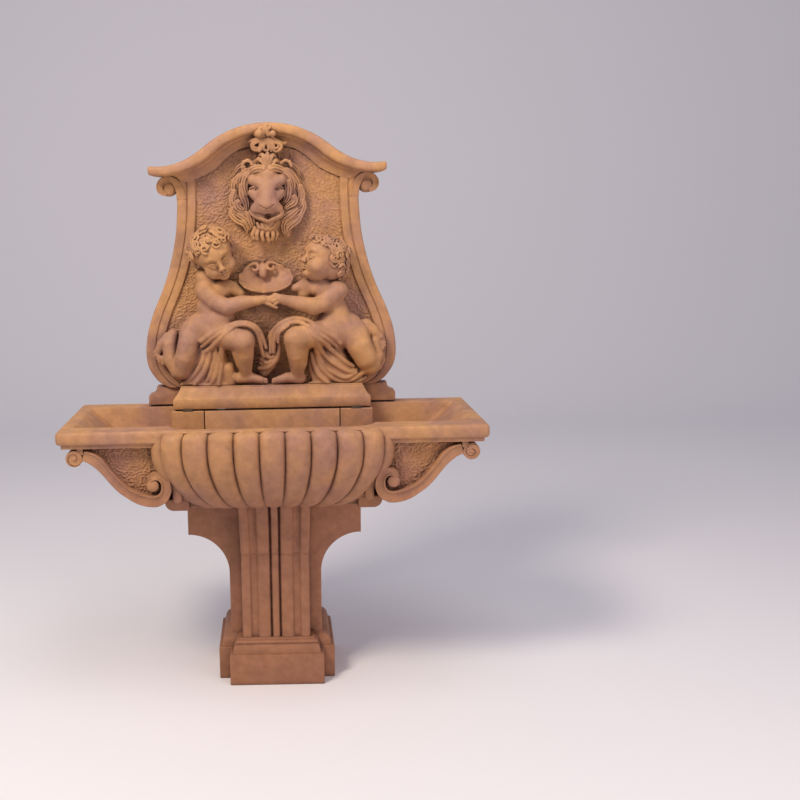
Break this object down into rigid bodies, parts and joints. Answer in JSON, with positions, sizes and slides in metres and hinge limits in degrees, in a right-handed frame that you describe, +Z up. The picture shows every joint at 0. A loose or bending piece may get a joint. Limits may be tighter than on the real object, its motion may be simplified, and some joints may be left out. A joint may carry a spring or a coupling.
{
  "type": "garden wall fountain",
  "caption": "Wall fountain in aged terracotta-coloured cast stone: winged basin with a gadrooned bowl on a fluted pedestal, under a back with two children, a shell dish and a lion mask.",
  "frame": {"origin": "on the ground, below the middle of the fountain's box", "axes": "+Z up, +X to the right of a viewer who faces the fountain, +Y towards the wall behind it"},
  "size_m": [1.104, 0.452, 1.523],
  "materials": {
    "cast_stone": "weathered terracotta-coloured cast stone, matt with a slight sheen on worn edges",
    "carved_stone": "the same cast stone, carved, darker and browner in the hollows",
    "copper": "dulled copper",
    "hose_plastic": "black soft PVC",
    "stainless": "brushed stainless steel",
    "pump_plastic": "black moulded plastic",
    "impeller_plastic": "off-white moulded plastic",
    "dial_plastic": "blue-grey moulded plastic",
    "magnet": "dark ferrite",
    "black_rubber": "matt black rubber",
    "stopper_rubber": "matt black rubber",
    "drain_brass": "plain brass",
    "lead_pads": "grey setting pads"
  },
  "bodies": {
    "fountain": {"pedestal": "cast_stone", "basin": "cast_stone", "panel_base": "cast_stone", "hood_cornice": "cast_stone", "back_panel": "cast_stone", "left_putto": "carved_stone", "right_putto": "carved_stone", "shell_dish": "carved_stone", "lion_mask": "carved_stone", "keystone_shell": "carved_stone", "spout_pipe": "copper", "riser_hose": "hose_plastic", "hose_clamps": "stainless", "hose_saddles": "stainless", "saddle_screws": "stainless", "pump_housing": "pump_plastic", "cable_gland": "black_rubber", "chamber_cover": "pump_plastic", "rotor_spindle": "stainless", "spindle_bush": "black_rubber", "intake_cage": "pump_plastic", "pump_feet": "black_rubber", "drain_body": "drain_brass", "drain_seal": "black_rubber", "drain_nut": "drain_brass", "seat_dowels": "stainless", "base_dowels": "stainless", "panel_dowels": "stainless", "hood_dowels": "stainless", "setting_pads": "lead_pads", "wall_ties": "stainless"},
    "cover": {"pump_cover": "cast_stone"},
    "rotor": {"impeller": "impeller_plastic", "rotor_magnet": "magnet"},
    "dial": {"flow_dial": "dial_plastic"},
    "stopper": {"drain_stopper": "stopper_rubber"}
  },
  "joints": [
    {"name": "cover_slide", "type": "slide", "parent": "fountain", "child": "cover", "axis": [0, -1, 0], "range_m": [0, 0.12]},
    {"name": "rotor_spin", "type": "hinge", "parent": "fountain", "child": "rotor", "pos_m": [0, 0.157, 0.607], "axis": [1, 0, 0], "continuous": true},
    {"name": "dial_turn", "type": "hinge", "parent": "fountain", "child": "dial", "pos_m": [0.03, 0.157, 0.607], "axis": [1, 0, 0], "range_deg": [0, 90]},
    {"name": "stopper_lift", "type": "slide", "parent": "fountain", "child": "stopper", "axis": [0, 0, 1], "range_m": [0, 0.06]}
  ]
}
